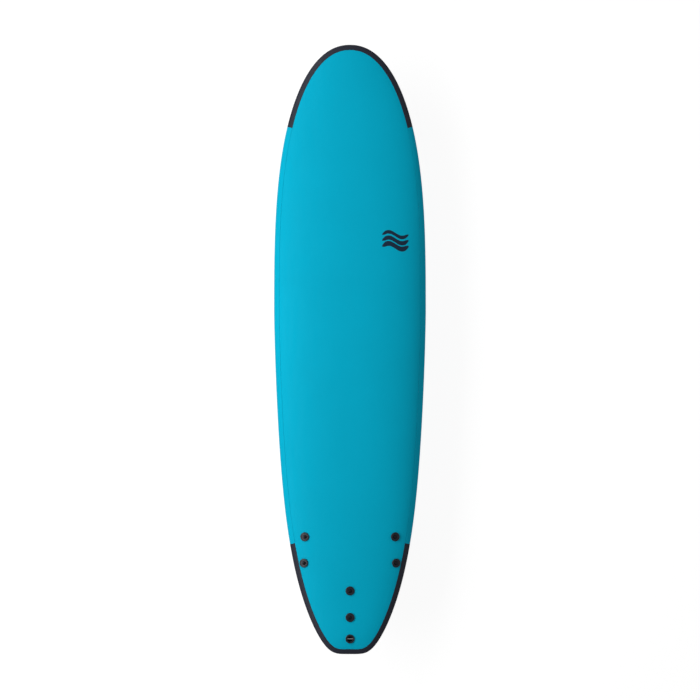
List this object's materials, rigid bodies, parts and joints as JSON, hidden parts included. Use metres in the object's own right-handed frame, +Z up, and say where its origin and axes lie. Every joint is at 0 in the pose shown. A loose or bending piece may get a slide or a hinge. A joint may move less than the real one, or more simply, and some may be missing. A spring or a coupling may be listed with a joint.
{
  "type": "longboard surfboard",
  "caption": "Soft-top longboard surfboard with a foam deck, rubber bumpers at nose and tail, a slick bottom, bolted fins, a leash cup and a recessed hand grip.",
  "frame": {"origin": "below the middle of the board, halfway from nose to tail on the centre line, at the level of the side fins' tips, the object's lowest points", "axes": "+X towards the nose, +Y to the port (left) rail, +Z up out of the deck"},
  "size_m": [2.438, 0.614, 0.2209],
  "materials": {
    "core_foam": "matte",
    "plywood": "satin",
    "deck_foam": "matte",
    "rail_foam": "matte",
    "bumper_rubber": "matte",
    "slick_plastic": "satin",
    "fin_nylon": "gloss",
    "black_plastic": "satin",
    "stainless_steel": "satin",
    "brass": "satin"
  },
  "bodies": {
    "board": {"foam_core_port": "core_foam", "foam_core_centre": "core_foam", "foam_core_starboard": "core_foam", "stringer_port": "plywood", "stringer_starboard": "plywood", "deck_skin": "deck_foam", "rail_strip_port": "rail_foam", "rail_strip_starboard": "rail_foam", "nose_bumper": "bumper_rubber", "tail_bumper": "bumper_rubber", "bottom_slick": "slick_plastic", "grip_cup": "black_plastic", "leash_cup": "black_plastic", "leash_bar": "stainless_steel", "fin_plug_port_front": "black_plastic", "fin_plug_port_rear": "black_plastic", "fin_plug_starboard_front": "black_plastic", "fin_plug_starboard_rear": "black_plastic", "fin_plug_centre_front": "black_plastic", "fin_plug_centre_rear": "black_plastic"},
    "port_fin": {"fin_port": "fin_nylon", "fin_insert_port_front": "brass", "fin_insert_port_rear": "brass"},
    "starboard_fin": {"fin_starboard": "fin_nylon", "fin_insert_starboard_front": "brass", "fin_insert_starboard_rear": "brass"},
    "centre_fin": {"fin_centre": "fin_nylon", "fin_insert_centre_front": "brass", "fin_insert_centre_rear": "brass"},
    "port_front_screw": {"fin_screw_port_front": "stainless_steel"},
    "port_rear_screw": {"fin_screw_port_rear": "stainless_steel"},
    "starboard_front_screw": {"fin_screw_starboard_front": "stainless_steel"},
    "starboard_rear_screw": {"fin_screw_starboard_rear": "stainless_steel"},
    "centre_front_screw": {"fin_screw_centre_front": "stainless_steel"},
    "centre_rear_screw": {"fin_screw_centre_rear": "stainless_steel"}
  },
  "joints": [
    {"name": "port_fin_pull", "type": "slide", "parent": "board", "child": "port_fin", "axis": [0, 0, -1], "range_m": [0, 0.06]},
    {"name": "starboard_fin_pull", "type": "slide", "parent": "board", "child": "starboard_fin", "axis": [0, 0, -1], "range_m": [0, 0.06]},
    {"name": "centre_fin_pull", "type": "slide", "parent": "board", "child": "centre_fin", "axis": [0, 0, -1], "range_m": [0, 0.06]},
    {"name": "port_front_screw_out", "type": "slide", "parent": "board", "child": "port_front_screw", "axis": [0, 0, 1], "range_m": [0, 0.055]},
    {"name": "port_rear_screw_out", "type": "slide", "parent": "board", "child": "port_rear_screw", "axis": [0, 0, 1], "range_m": [0, 0.055]},
    {"name": "starboard_front_screw_out", "type": "slide", "parent": "board", "child": "starboard_front_screw", "axis": [0, 0, 1], "range_m": [0, 0.055]},
    {"name": "starboard_rear_screw_out", "type": "slide", "parent": "board", "child": "starboard_rear_screw", "axis": [0, 0, 1], "range_m": [0, 0.055]},
    {"name": "centre_front_screw_out", "type": "slide", "parent": "board", "child": "centre_front_screw", "axis": [0, 0, 1], "range_m": [0, 0.055]},
    {"name": "centre_rear_screw_out", "type": "slide", "parent": "board", "child": "centre_rear_screw", "axis": [0, 0, 1], "range_m": [0, 0.055]}
  ]
}
